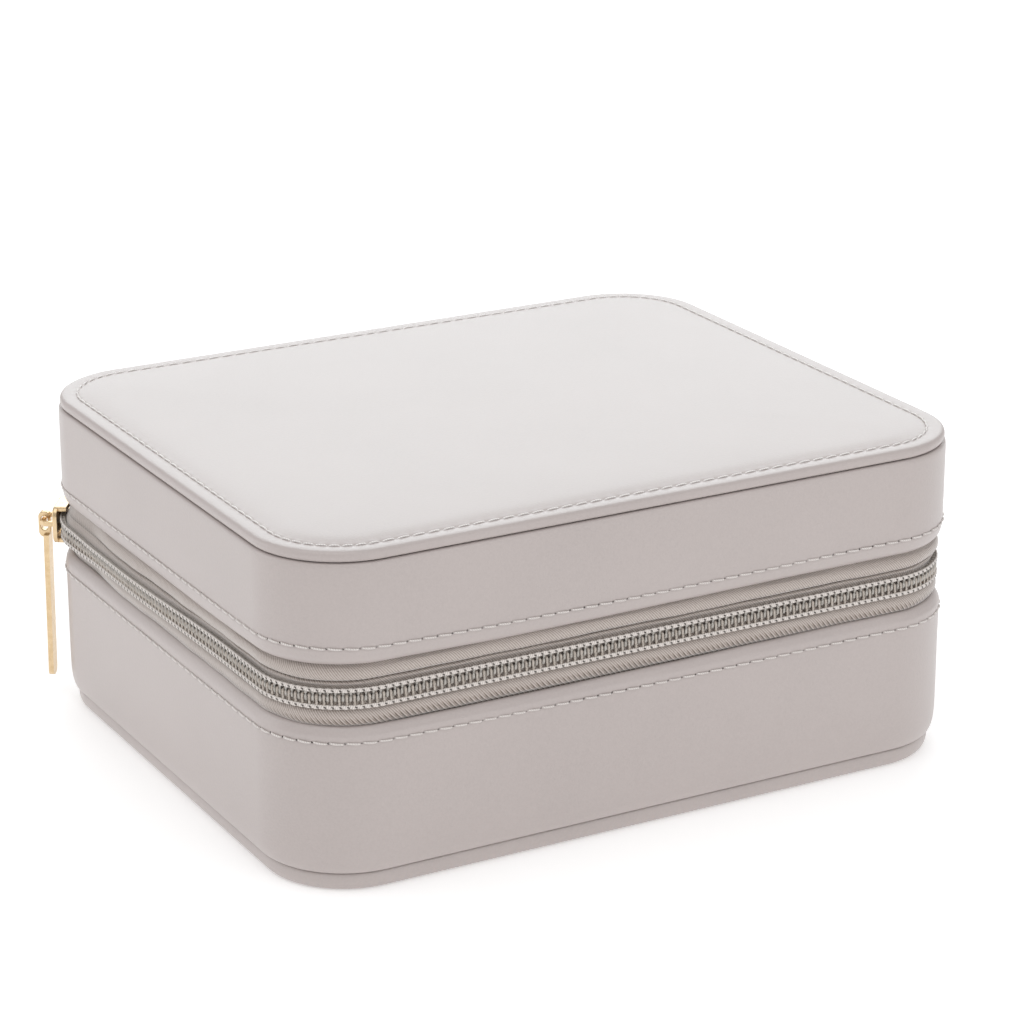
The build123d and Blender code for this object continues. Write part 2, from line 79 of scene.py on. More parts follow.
TOTAL = sum(s[0] for s in SEGS)


def path(s):
    """Arrays of the skeleton point and outward normal at distance s round the wall, from the middle of the back, leftwards."""
    s = np.mod(np.atleast_1d(np.asarray(s, float)), TOTAL)
    A, N = np.zeros((len(s), 2)), np.zeros((len(s), 2))
    start = 0.0
    for seg in SEGS:
        m = (s >= start - 1e-9) & (s <= start + seg[0] + 1e-9)
        u = s[m] - start
        if seg[1] == "l":
            A[m] = np.array(seg[2]) + u[:, None] * np.array(seg[3])
            N[m] = seg[4]
        else:
            a = seg[3] + u / R
            A[m] = seg[2]
            N[m] = np.stack([np.cos(a), np.sin(a)], 1)
        start += seg[0]
    return A, N


def at(s, inset, z):
    """Points (mm) at distance s, inset from the wall and height z."""
    A, N = path(s)
    inset, z = np.broadcast_to(inset, (len(A),)), np.broadcast_to(z, (len(A),))
    p = A + (R - inset)[:, None] * N
    return np.column_stack([p, z])


def columns(step=1):
    """Distances of the columns all round, evenly spaced on each side."""
    long, short = 2 * HX + ARC, 2 * HY + ARC
    out, s0 = [], 0.0
    for length, n in ((long / 2, NX // 2), (short, NY), (long, NX), (short, NY), (long / 2, NX // 2)):
        out += [s0 + length * k / n for k in range(n)]
        s0 += length
    return np.array(out[::step])


ALL = columns()
STITCH_S = ALL[::PER_STITCH]
S_CORNER = HX                                   # where the back left corner starts
def s_at_phi(p):
    """Distance at angle p (degrees) from the left wall's normal, on the back left corner."""
    return S_CORNER + ARC - math.radians(p) * R
S_SLIDER = s_at_phi(34)


# ------------------------------------------------------------------ mesh helpers
def new_mesh(name, verts, faces, mats, pv=None, smooth=True, index=None):
    me = bpy.data.meshes.new(name)
    me.from_pydata([tuple(v) for v in np.asarray(verts) * MM], [], [tuple(int(i) for i in f) for f in faces])
    if pv is not None:
        at_ = me.attributes.new("pv", "FLOAT_VECTOR", "POINT")
        at_.data.foreach_set("vector", np.asarray(pv, np.float32).ravel())
    for m in mats:
        me.materials.append(m)
    if index is not None:
        me.polygons.foreach_set("material_index", np.asarray(index, np.int32))
    me.update()
    if smooth:
        me.polygons.foreach_set("use_smooth", [True] * len(me.polygons))
    o = bpy.data.objects.new(name, me)
    bpy.context.scene.collection.objects.link(o)
    return o


def chaikin(p, rounds=2, closed=False):
    p = np.asarray(p, float)
    for _ in range(rounds):
        if closed:
            q = np.roll(p, -1, 0)
            p = np.stack([0.75 * p + 0.25 * q, 0.25 * p + 0.75 * q], 1).reshape(-1, 2)
        else:
            a, b = p[:-1], p[1:]
            mid = np.stack([0.75 * a + 0.25 * b, 0.25 * a + 0.75 * b], 1).reshape(-1, 2)
            p = np.vstack([p[:1], mid[1:-1], p[-1:]])
    return p


def sweep(name, s, profile, mats, closed_path=True, closed_profile=True, shift=None, pv=False):
    """A wall made by taking the profile, points of (inset, z), round the distances s."""
    prof = np.asarray(profile, float)
    n, k = len(s), len(prof)
    A, N = path(s)
    inset = np.repeat(prof[None, :, 0], n, 0)
    z = np.repeat(prof[None, :, 1], n, 0)
    if shift is not None:
        di, dz = shift(s[:, None], inset, z)
        inset, z = inset + di, z + dz
    xy = A[:, None, :] + (R - inset)[:, :, None] * N[:, None, :]
    verts = np.concatenate([xy, z[:, :, None]], 2).reshape(-1, 3)
    i = np.arange(n if closed_path else n - 1)
    j = np.arange(k if closed_profile else k - 1)
    I, J = np.meshgrid(i, j, indexing="ij")
    I2, J2 = (I + 1) % n, (J + 1) % k
    faces = np.stack([I * k + J, I2 * k + J, I2 * k + J2, I * k + J2], 2).reshape(-1, 4).tolist()
    if not closed_path and closed_profile:
        faces.append(list(range(k))[::-1])
        faces.append([(n - 1) * k + q for q in range(k)])
    coords = None
    if pv:
        v = np.concatenate([[0], np.cumsum(np.hypot(*np.diff(prof, axis=0).T))])
        coords = np.stack([np.repeat(s[:, None], k, 1), np.repeat(v[None], n, 0), np.zeros((n, k))], 2).reshape(-1, 3)
    return new_mesh(name, verts, faces, mats, coords)


def tubes(name, lines, radius, sides, mats, closed=False):
    """Round tubes along lines of points (mm), each tapering closed at its ends. pv is (distance, angle, tube)."""
    V, F, P = [], [], []
    base = 0
    for number, pts in enumerate(lines):
        pts = np.asarray(pts, float)
        r = np.full(len(pts), radius, float) if np.isscalar(radius) else np.asarray(radius(len(pts)), float)
        t = np.gradient(pts, axis=0)
        t /= np.linalg.norm(t, axis=1)[:, None] + 1e-12
        up = np.array([0.0, 0.0, 1.0]) if abs(t[:, 2]).mean() < 0.8 else np.array([1.0, 0.0, 0.0])
        a = np.cross(t, up)
        a /= np.linalg.norm(a, axis=1)[:, None] + 1e-12
        b = np.cross(a, t)
        d = np.concatenate([[0], np.cumsum(np.linalg.norm(np.diff(pts, axis=0), axis=1))])
        th = np.arange(sides) * 2 * math.pi / sides
        ring = (a[:, None, :] * np.cos(th)[None, :, None] + b[:, None, :] * np.sin(th)[None, :, None]) * r[:, None, None]
        V.append((pts[:, None, :] + ring).reshape(-1, 3))
        P.append(np.stack([np.repeat(d[:, None], sides, 1), np.repeat(th[None], len(pts), 0) / (2 * math.pi),
                           np.full((len(pts), sides), number)], 2).reshape(-1, 3))
        n = len(pts)
        for i in range(n - 1):
            for j in range(sides):
                j2 = (j + 1) % sides
                F.append((base + i * sides + j, base + i * sides + j2, base + (i + 1) * sides + j2, base + (i + 1) * sides + j))
        F.append(tuple(base + j for j in range(sides))[::-1])
        F.append(tuple(base + (n - 1) * sides + j for j in range(sides)))
        base += n * sides
    return new_mesh(name, np.vstack(V), F, mats, np.vstack(P))


# ------------------------------------------------------------------ materials
def nodes_of(name):
    m = bpy.data.materials.new(name)
    m.use_nodes = True
    nt = m.node_tree
    return m, nt, nt.nodes["Principled BSDF"]


def link(nt, a, b):
    nt.links.new(a, b)


def add(nt, kind, **kw):
    n = nt.nodes.new(kind)
    for k, v in kw.items():
        if k in n.inputs.keys() if hasattr(n.inputs, "keys") else False:
            n.inputs[k].default_value = v
        else:
            setattr(n, k, v)
    return n


def object_mm(nt, scale=(1, 1, 1)):
    tc = add(nt, "ShaderNodeTexCoord")
    mp = add(nt, "ShaderNodeMapping")
    mp.inputs["Scale"].default_value = [1000 * v for v in scale]
    link(nt, tc.outputs["Object"], mp.inputs["Vector"])
    return mp.outputs["Vector"]


def pv_coord(nt):
    return add(nt, "ShaderNodeAttribute", attribute_name="pv").outputs["Vector"]


def ramp(nt, source, stops):
    r = add(nt, "ShaderNodeValToRGB")
    e = r.color_ramp.elements
    while len(e) > 1:
        e.remove(e[-1])
    e[0].position, e[0].color = stops[0][0], (*stops[0][1], 1)
    for p, c in stops[1:]:
        q = e.new(p)
        q.color = (*c, 1)
    link(nt, source, r.inputs["Fac"])
    return r.outputs["Color"]


def maths(nt, op, a, b=None, c=None):
    m = add(nt, "ShaderNodeMath", operation=op)
    for i, v in enumerate((a, b, c)):
        if v is None:
            continue
        if isinstance(v, (int, float)):
            m.inputs[i].default_value = v
        else:
            link(nt, v, m.inputs[i])
    return m.outputs[0]


def bump(nt, height, strength, distance, normal=None):
    b = add(nt, "ShaderNodeBump")
    b.inputs["Strength"].default_value = strength
    b.inputs["Distance"].default_value = distance * MM
    link(nt, height, b.inputs["Height"])
    if normal is not None:
        link(nt, normal, b.inputs["Normal"])
    return b.outputs["Normal"]


def noise_tex(nt, vec, scale, detail=2.0, rough=0.5):
    n = add(nt, "ShaderNodeTexNoise")
    n.inputs["Scale"].default_value = scale
    n.inputs["Detail"].default_value = detail
    n.inputs["Roughness"].default_value = rough
    link(nt, vec, n.inputs["Vector"])
    return n.outputs["Fac"]


def make_leather(name, c, rough=0.42, grain=1.0):
    m, nt, b = nodes_of(name)
    v = object_mm(nt)
    big = noise_tex(nt, v, 0.028, 3)
    fine = noise_tex(nt, v, 1.7, 3, 0.6)
    mixed = maths(nt, "ADD", maths(nt, "MULTIPLY", big, 0.42), maths(nt, "MULTIPLY", fine, 0.58))
    d = tuple(x * 0.945 for x in c)
    l = tuple(min(1, x * 1.045) for x in c)
    link(nt, ramp(nt, mixed, [(0.3, d), (0.5, c), (0.72, l)]), b.inputs["Base Color"])
    vor = add(nt, "ShaderNodeTexVoronoi", feature="SMOOTH_F1")
    vor.inputs["Scale"].default_value = 1.9
    vor.inputs["Smoothness"].default_value = 0.35
    warp = add(nt, "ShaderNodeTexNoise")
    warp.inputs["Scale"].default_value = 0.9
    link(nt, v, warp.inputs["Vector"])
    mixv = add(nt, "ShaderNodeVectorMath", operation="MULTIPLY_ADD")
    mixv.inputs[1].default_value = (0.7, 0.7, 0.7)
    link(nt, warp.outputs["Color"], mixv.inputs[0])
    link(nt, v, mixv.inputs[2])
    link(nt, mixv.outputs[0], vor.inputs["Vector"])
    n1 = bump(nt, vor.outputs["Distance"], 0.58 * grain, 0.065)
    n2 = bump(nt, noise_tex(nt, v, 6.0, 2), 0.22 * grain, 0.02, n1)
    n3 = bump(nt, noise_tex(nt, v, 0.09, 2), 0.10, 0.30, n2)
    link(nt, n3, b.inputs["Normal"])
    rr = add(nt, "ShaderNodeMapRange")
    rr.inputs["To Min"].default_value = rough - 0.05
    rr.inputs["To Max"].default_value = rough + 0.07
    link(nt, fine, rr.inputs["Value"])
    link(nt, rr.outputs[0], b.inputs["Roughness"])
    b.inputs["IOR"].default_value = 1.56
    b.inputs["Coat Weight"].default_value = 0.35
    b.inputs["Coat Roughness"].default_value = 0.38
    b.inputs["Sheen Weight"].default_value = 0.06
    b.inputs["Sheen Roughness"].default_value = 0.5
    return m


LEATHER_C = (0.475, 0.418, 0.402)
leather = make_leather("leather", LEATHER_C)
leather_spine = make_leather("leather_spine", tuple(x * 0.94 for x in LEATHER_C), 0.52, 1.2)
leather_tray = make_leather("leather_tray", tuple(x * 0.97 for x in LEATHER_C), 0.5)


def make_thread(name, c):
    m, nt, b = nodes_of(name)
    v = pv_coord(nt)
    sep = add(nt, "ShaderNodeSeparateXYZ")
    link(nt, v, sep.inputs[0])
    # two plies twisted along the thread
    ph = maths(nt, "ADD", maths(nt, "MULTIPLY", sep.outputs[0], 2 * math.pi / 0.55), maths(nt, "MULTIPLY", sep.outputs[1], 2 * math.pi * 2))
    ply = maths(nt, "MULTIPLY_ADD", maths(nt, "SINE", ph), 0.5, 0.5)
    link(nt, ramp(nt, ply, [(0.0, tuple(x * 0.72 for x in c)), (0.45, c), (1.0, tuple(min(1, x * 1.06) for x in c))]), b.inputs["Base Color"])
    link(nt, bump(nt, ply, 0.6, 0.06), b.inputs["Normal"])
    b.inputs["Roughness"].default_value = 0.55
    b.inputs["Sheen Weight"].default_value = 0.25
    return m


thread = make_thread("stitch_thread", (0.74, 0.69, 0.66))
# painted light: a lighter copy of the stitch thread for the top row, which is lit more
thread_top_painted_light = make_thread("stitch_thread_top", (0.93, 0.90, 0.88))
zip_thread = make_thread("zip_thread", (0.71, 0.655, 0.615))

def make_hole(name, dark, light):
    m, nt, b = nodes_of(name)
    link(nt, ramp(nt, noise_tex(nt, object_mm(nt), 3.0), [(0.3, dark), (0.7, light)]), b.inputs["Base Color"])
    b.inputs["Roughness"].default_value = 0.9
    return m


# painted shade: dark colour for the needle-hole cones, standing in for the shade inside the holes
needle_hole_shade_mat = make_hole("needle_hole", (0.045, 0.036, 0.032), (0.085, 0.07, 0.063))
# painted shade in the top row's needle holes, kept faint and lighter than elsewhere because the top is lit
top_hole_faint_shade_mat = make_hole("needle_hole_soft", (0.42, 0.38, 0.37), (0.49, 0.45, 0.435))
# painted shade: dark colour for the flat patches in the chain stitch's open loops
chain_gap_shade_mat = make_hole("chain_gap_shade", (0.075, 0.064, 0.057), (0.12, 0.103, 0.093))


def make_tape():
    """Woven tape: a fine diagonal twill. The pattern follows pv, (distance, signed distance across, 0)."""
    m, nt, b = nodes_of("zip_tape_weave")
    sep = add(nt, "ShaderNodeSeparateXYZ")
    link(nt, pv_coord(nt), sep.inputs[0])
    s, v = sep.outputs[0], sep.outputs[1]
    lean = maths(nt, "MULTIPLY_ADD", v, 0.85, s)
    diag = maths(nt, "SINE", maths(nt, "MULTIPLY", lean, 2 * math.pi / 0.66))
    rib = maths(nt, "SINE", maths(nt, "MULTIPLY", lean, 2 * math.pi / 1.32))
    cross = maths(nt, "SINE", maths(nt, "MULTIPLY", v, 2 * math.pi / 0.28))
    weave = maths(nt, "MULTIPLY_ADD", diag, 0.27, maths(nt, "MULTIPLY_ADD", cross, 0.17, 0.5))
    # painted shade: the weave is darkened, most in the ribs, where the tape folds into a crease towards the chain and
    # where it tucks under the leather, as shade falls there
    where = add(nt, "ShaderNodeMapRange")
    where.inputs["From Min"].default_value = -12.0
    where.inputs["From Max"].default_value = 12.0
    link(nt, v, where.inputs["Value"])
    at_v = lambda x: (x + 12.0) / 24.0
    grey = lambda x: (x, x, x)
    crease_shade_mask = ramp(nt, where.outputs[0], [(at_v(p_), grey(q_)) for p_, q_ in ((-8.0, 1), (-6.3, 1), (-5.5, 0.7), (-4.6, 0.08), (-3.2, 0.0), (-2.3, 0.25),
                (2.2, 0.15), (3.0, 0.05), (3.6, 0.2), (4.0, 0.75), (5.3, 0.85), (6.0, 0.3), (6.7, 0.0))])
    spots = noise_tex(nt, pv_coord(nt), 1.6, 3, 0.6)
    # painted crease shade, stronger in the ribs, taken off the weave's brightness
    painted_crease_shade = maths(nt, "MULTIPLY", crease_shade_mask, maths(nt, "MULTIPLY_ADD", rib, 0.36, 0.38))
    shade = maths(nt, "SUBTRACT", maths(nt, "ADD", maths(nt, "MULTIPLY", weave, 0.72), maths(nt, "MULTIPLY", spots, 0.28)), maths(nt, "MULTIPLY", painted_crease_shade, 0.74))
    link(nt, ramp(nt, shade, [(0.0, (0.085, 0.060, 0.045)), (0.18, (0.235, 0.182, 0.148)), (0.46, (0.455, 0.392, 0.355)), (0.82, (0.64, 0.58, 0.55))]), b.inputs["Base Color"])
    link(nt, bump(nt, weave, 0.7, 0.09), b.inputs["Normal"])
    b.inputs["Roughness"].default_value = 0.72
    b.inputs["Sheen Weight"].default_value = 0.85
    b.inputs["Sheen Roughness"].default_value = 0.45
    return m


tape_mat = make_tape()

def make_coil(name, dark, light):
    m, nt, b = nodes_of(name)
    v = pv_coord(nt)
    link(nt, ramp(nt, noise_tex(nt, v, 0.8, 2), [(0.3, dark), (0.7, light)]), b.inputs["Base Color"])
    link(nt, bump(nt, noise_tex(nt, v, 5.0, 2), 0.15, 0.03), b.inputs["Normal"])
    b.inputs["Roughness"].default_value = 0.28
    b.inputs["IOR"].default_value = 1.53
    b.inputs["Subsurface Weight"].default_value = 0.25
    b.inputs["Subsurface Scale"].default_value = 0.0006
    b.inputs["Subsurface Radius"].default_value = (1, 0.95, 0.9)
    return m


coil_mat = make_coil("nylon_coil", (0.38, 0.355, 0.325), (0.50, 0.47, 0.435))
coil_warm = make_coil("nylon_coil_warm", (0.43, 0.375, 0.325), (0.54, 0.485, 0.435))


def make_gold():
    m, nt, b = nodes_of("light_gold")
    v = object_mm(nt)
    n = noise_tex(nt, v, 0.6, 3)
    link(nt, ramp(nt, n, [(0.3, (0.66, 0.485, 0.285)), (0.7, (0.75, 0.575, 0.365))]), b.inputs["Base Color"])
    scr = noise_tex(nt, object_mm(nt, (9, 9, 0.5)), 1.0, 2)
    link(nt, bump(nt, scr, 0.05, 0.01), b.inputs["Normal"])
    rr = add(nt, "ShaderNodeMapRange")
    rr.inputs["To Min"].default_value = 0.22
    rr.inputs["To Max"].default_value = 0.34
    link(nt, scr, rr.inputs["Value"])
    link(nt, rr.outputs[0], b.inputs["Roughness"])
    b.inputs["Metallic"].default_value = 1.0
    return m


gold = make_gold()


def make_velvet(name, c):
    m, nt, b = nodes_of(name)
    v = object_mm(nt)
    pile = noise_tex(nt, v, 4.5, 3, 0.65)
    brush = noise_tex(nt, v, 0.06, 3, 0.55)
    mixed = maths(nt, "ADD", maths(nt, "MULTIPLY", pile, 0.5), maths(nt, "MULTIPLY", brush, 0.5))
    link(nt, ramp(nt, mixed, [(0.32, tuple(x * 0.78 for x in c)), (0.5, c), (0.68, tuple(min(1, x * 1.14) for x in c))]), b.inputs["Base Color"])
    link(nt, bump(nt, pile, 0.5, 0.12), b.inputs["Normal"])
    b.inputs["Roughness"].default_value = 0.92
    b.inputs["Sheen Weight"].default_value = 0.8
    b.inputs["Sheen Roughness"].default_value = 0.35
    b.inputs["Sheen Tint"].default_value = (0.95, 0.90, 0.87, 1)
    return m


velvet = make_velvet("velvet_lining", (0.50, 0.435, 0.410))
velvet_roll = make_velvet("velvet_roll", (0.53, 0.465, 0.440))


def make_plain(name, dark, light, scale, rough, strength, height):
    m, nt, b = nodes_of(name)
    v = object_mm(nt)
    n = noise_tex(nt, v, scale, 4, 0.6)
    link(nt, ramp(nt, n, [(0.3, dark), (0.7, light)]), b.inputs["Base Color"])
    link(nt, bump(nt, n, strength, height), b.inputs["Normal"])
    b.inputs["Roughness"].default_value = rough
    return m


board_mat = make_plain("grey_board", (0.30, 0.28, 0.255), (0.44, 0.42, 0.385), 1.2, 0.9, 0.3, 0.08)
foam_mat = make_plain("foam", (0.70, 0.69, 0.64), (0.86, 0.85, 0.80), 2.5, 0.95, 0.6, 0.2)
ribbon_mat = make_plain("satin_ribbon", (0.46, 0.39, 0.365), (0.60, 0.53, 0.50), 0.9, 0.38, 0.2, 0.04)
mirror_mat, nt, b = nodes_of("silvered_glass")
n = noise_tex(nt, object_mm(nt), 0.05, 2)
link(nt, ramp(nt, n, [(0.3, (0.87, 0.90, 0.90)), (0.7, (0.92, 0.94, 0.94))]), b.inputs["Base Color"])
b.inputs["Metallic"].default_value = 1.0
b.inputs["Roughness"].default_value = 0.03


# ------------------------------------------------------------------ leather side covers
S0 = s_at_phi(0)                                # where the corner meets the left wall
# how far the soft leather settles below its pattern line, by distance from S0: at the free edges and at the stitch rows
DRAPE = {
    "lid_edge": [(-60, 0), (-43, 0), (-28, -1.1), (-15, -1.7), (10, -1.9), (80, -1.85), (100, -1.45), (116, -1.0), (130, -0.75), (145, -0.95), (170, -1.45), (200, -1.3), (225, -1.05), (262, -0.8), (405, -0.9), (438, -0.5), (457, 0), (600, 0)],
    "lid_row": [(-60, 0), (-43, 0), (-28, -0.5), (-12, -0.8), (25, -0.6), (60, -0.5), (90, -0.3), (112, 0.1), (128, 0.25), (145, 0.0), (165, -0.5), (205, -0.6), (238, -0.35), (262, 0.0), (600, 0.0)],
    "base_edge": [(-60, 0), (-20, 0), (5, -0.15), (40, -0.25), (85, -0.1), (110, -0.3), (130, -0.6), (150, -1.0), (180, -1.15), (215, -1.1), (262, -0.7), (405, -0.7), (438, -0.4), (457, 0), (600, 0)],
    "base_row": [(-60, 0.0), (100, 0.0), (115, 0.3), (130, 0.35), (148, 0.05), (180, -0.25), (215, -0.3), (262, 0.0), (600, 0.0)],
}


def drape(key, s):
    """Settling of one line of a cover at distances s, smoothed, in mm; nothing is pulled down at the hinge."""
    d = np.mod(np.asarray(s, float) - S0 + 60, TOTAL) - 60
    x, y = np.array(DRAPE[key]).T
    total = 0
    for o, w in ((-9, 0.15), (-4.5, 0.22), (0, 0.26), (4.5, 0.22), (9, 0.15)):
        total = total + w * np.interp(d + o, x, y)
    return total


def settle(part, s, z):
    """Vertical settling of a cover at distance s and height z."""
    edge, row, z_edge, z_row, sign = {"lid": ("lid_edge", "lid_row", Z_LID0, Z_LID0 + 3.2, 1), "base": ("base_edge", "base_row", Z_BASE1, Z_BASE1 - 4.5, -1)}[part]
    u = sign * (z - z_edge)                     # distance in from the free edge
    r = abs(z_row - z_edge)
    t = np.clip((u - 1.0) / (r - 1.9), 0, 1)
    w = 1 - t * t * (3 - 2 * t)
    q = np.clip((u - r - 2.0) / 13.0, 0, 1)
    return (drape(edge, s) * w + drape(row, s) * (1 - w)) * (1 - q * q * (3 - 2 * q))


def stitch_shift(z_st, part, wave=0.07):
    """Groove and needle dimples along a stitch row, with a little unevenness of the wall."""
    holes = STITCH_S

    def f(s, inset, z):
        k = np.searchsorted(holes, s[:, 0], side="right") - 1
        a = holes[k]
        b_ = np.append(holes, TOTAL)[k + 1]
        ds = np.minimum(s[:, 0] - a, b_ - s[:, 0])[:, None]
        outer = inset < 0.6
        g = np.exp(-((z - z_st) / 0.38) ** 2) * outer
        di = 0.03 * g + 0.25 * g * np.exp(-(ds / 0.5) ** 2)
        # leather lifts a little on both sides of the thread, most between holes
        mid = 1 - np.exp(-(ds / 0.9) ** 2)
        di -= 0.03 * mid * (np.exp(-((z - z_st - 0.85) / 0.45) ** 2) + np.exp(-((z - z_st + 0.85) / 0.45) ** 2)) * outer
        w = np.sin(s * 2 * math.pi / TOTAL * 7 + z * 0.05) * np.sin(z * 0.21 + s * 0.013) + 0.6 * np.sin(s * 2 * math.pi / TOTAL * 17 + 1.3)
        return di + wave * 0.5 * w * np.ones_like(z) * (inset < 0.9), settle(part, s, z)

    return f


def rows(z0, z1, step):
    n = max(2, int(round(abs(z1 - z0) / step)) + 1)
    return [(0.0, z) for z in np.linspace(z0, z1, n)]


ST_BASE, ST_LID = Z_BASE1 - 4.5, Z_LID0 + 3.2
zb0, zb1 = Z_BASE0, Z_BASE1
edge_lo = chaikin([(2.15, zb0 + 1.0), (2.15, zb0 + 0.3), (1.7, zb0 + 0.0), (1.1, zb0 + 0.25), (0.62, zb0 + 1.0), (0.28, zb0 + 2.2), (0.07, zb0 + 3.9), (0.0, zb0 + 6.0)], 2)
edge_hi = chaikin([(0.0, ST_BASE + 1.3), (0.05, zb1 - 2.6), (0.22, zb1 - 1.9), (0.55, zb1 - 1.15), (1.0, zb1 - 0.5), (1.55, zb1 - 0.08), (2.05, zb1), (2.38, zb1 - 0.35), (2.38, zb1 - 1.0)], 2)
inner = [(1.6, zb1 - 1.35), (1.0, zb1 - 2.2)] + [(0.98, z) for z in np.linspace(zb1 - 4, zb0 + 5, 6)] + [(1.0, zb0 + 3.0), (1.5, zb0 + 1.4)]
prof = list(map(tuple, edge_lo)) + rows(zb0 + 8, ST_BASE - 2.2, 2.4) + rows(ST_BASE - 1.6, ST_BASE + 1.1, 0.22) + list(map(tuple, edge_hi)) + inner
base_cover = sweep("base_cover", ALL, prof, [leather], shift=stitch_shift(ST_BASE, "base"))
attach(base_cover, "base"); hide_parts("base_side_cover")

zl0, zl1 = Z_LID0, Z_LID1
edge_lo = chaikin([(2.38, zl0 + 1.0), (2.38, zl0 + 0.35), (2.05, zl0), (1.5, zl0 + 0.1), (0.95, zl0 + 0.55), (0.5, zl0 + 1.15), (0.2, zl0 + 1.7), (0.06, zl0 + 2.1), (0.0, zl0 + 2.36)], 2)
edge_hi = chaikin([(0.0, zl1 - 4.0), (0.0, zl1 - 1.6), (0.06, zl1 - 0.7), (0.3, zl1 - 0.15), (0.8, zl1), (1.6, zl1 + 0.02)], 2)
inner = [(1.6, zl1 - 0.5)] + [(0.98, z) for z in np.linspace(zl1 - 1.4, zl0 + 3, 5)] + [(1.4, zl0 + 1.7), (1.9, zl0 + 1.2)]
prof = list(map(tuple, edge_lo)) + rows(ST_LID - 0.64, ST_LID + 1.8, 0.2) + rows(ST_LID + 2.6, zl1 - 5, 2.4) + list(map(tuple, edge_hi)) + inner
lid_cover = sweep("lid_cover", ALL, prof, [leather], shift=stitch_shift(ST_LID, "lid"))
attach(lid_cover, "lid"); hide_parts("lid_side_cover")

# ------------------------------------------------------------------ padded top panel
ST_TOP = 4.75
SAG = 1.15                     # how far the padding crowns above the rim


def crown(d):
    """Height above the rim at distance d in from the stitch row."""
    d = np.maximum(d, 0)
    return 0.42 * (1 - np.exp(-(d / 2.6) ** 1.6)) + (SAG - 0.42) * (1 - np.exp(-d / 17.0))


zr = Z_TOP
rim = chaikin([(3.2, zr - 2.45), (2.2, zr - 2.5), (1.2, zr - 2.5), (0.62, zr - 2.2), (0.42, zr - 1.55), (0.42, zr - 1.0), (0.62, zr - 0.4), (1.15, zr - 0.04), (1.9, zr + 0.06), (2.8, zr + 0.08), (3.6, zr + 0.02)], 2)
near = [(i, zr + float(crown(i - ST_TOP)) - 0.05 * math.exp(-((i - ST_TOP) / 0.5) ** 2)) for i in np.arange(3.8, 6.6, 0.2)]
near = [(i, (z if i >= ST_TOP else zr + 0.01 - 0.05 * math.exp(-((i - ST_TOP) / 0.5) ** 2))) for i, z in near]
far = [(i, zr + float(crown(i - ST_TOP))) for i in (6.8, 7.3, 8.0, 9.0)]
prof = np.array(list(map(tuple, rim)) + near + far)
A, N = path(ALL)
n, k = len(ALL), len(prof)
inset = np.repeat(prof[None, :, 0], n, 0)
z = np.repeat(prof[None, :, 1], n, 0)
kk = np.searchsorted(STITCH_S, ALL, side="right") - 1
ds = np.minimum(ALL - STITCH_S[kk], np.append(STITCH_S, TOTAL)[kk + 1] - ALL)[:, None]
top_side = (np.arange(k) > len(rim) // 2)[None, :]
g = np.exp(-((inset - ST_TOP) / 0.42) ** 2) * top_side
z = z - 0.10 * g * np.exp(-(ds / 0.5) ** 2)
mid = 1 - np.exp(-(ds / 0.9) ** 2)
z = z + 0.045 * mid * (np.exp(-((inset - ST_TOP - 0.95) / 0.5) ** 2) + np.exp(-((inset - ST_TOP + 0.95) / 0.5) ** 2)) * top_side
xy = A[:, None, :] + (R - inset)[:, :, None] * N[:, None, :]
verts = np.concatenate([xy, z[:, :, None]], 2).reshape(-1, 3)
faces = []
I, J = np.meshgrid(np.arange(n), np.arange(k - 1), indexing="ij")
I2 = (I + 1) % n
faces += np.stack([I * k + J, I2 * k + J, I2 * k + J + 1, I * k + J + 1], 2).reshape(-1, 4).tolist()
# the middle is a smooth net between the four sides of the innermost ring
ring = verts.reshape(n, k, 3)[:, -1, :2]
start = NX // 2                                   # the back left corner's middle
order = (np.arange(n) + start) % n
left = order[: NY + 1]
front = order[NY: NY + NX + 1]
right = order[NY + NX: 2 * NY + NX + 1]
back = order[np.arange(2 * NY + NX, 2 * NY + 2 * NX + 1) % n]
FRONT, BACK = ring[front], ring[back][::-1]      # left to right
LEFT, RIGHT = ring[left][::-1], ring[right]      # front to back
u = np.linspace(0, 1, NX + 1)[:, None, None]
v = np.linspace(0, 1, NY + 1)[None, :, None]
c00, c10, c01, c11 = FRONT[0], FRONT[-1], BACK[0], BACK[-1]
P = ((1 - v) * FRONT[:, None] + v * BACK[:, None] + (1 - u) * LEFT[None] + u * RIGHT[None]
     - ((1 - u) * (1 - v) * c00 + u * (1 - v) * c10 + (1 - u) * v * c01 + u * v * c11))
qx, qy = np.abs(P[..., 0]) - HX, np.abs(P[..., 1]) - HY
outside = np.hypot(np.maximum(qx, 0), np.maximum(qy, 0)) + np.minimum(np.maximum(qx, qy), 0)
depth = R - outside                               # inset of each point of the net
wob = 0.05 * np.sin(P[..., 0] * 0.045 + 1.0) * np.sin(P[..., 1] * 0.06 + 0.4) + 0.03 * np.sin(P[..., 0] * 0.11 - P[..., 1] * 0.07)
PZ = zr + crown(depth - ST_TOP) + wob * np.clip((depth - 9) / 15, 0, 1)
ids = np.full((NX + 1, NY + 1), -1)
last = lambda c: c * k + k - 1
ids[:, 0], ids[:, -1] = last(front), last(back[::-1])
ids[0, :], ids[-1, :] = last(left[::-1]), last(right)
inner_ids = np.arange((NX - 1) * (NY - 1)).reshape(NX - 1, NY - 1) + len(verts)
ids[1:-1, 1:-1] = inner_ids
add_v = np.concatenate([P[1:-1, 1:-1], PZ[1:-1, 1:-1, None]], 2).reshape(-1, 3)
faces += np.stack([ids[:-1, :-1], ids[1:, :-1], ids[1:, 1:], ids[:-1, 1:]], 2).reshape(-1, 4).tolist()
verts = np.vstack([verts, add_v])
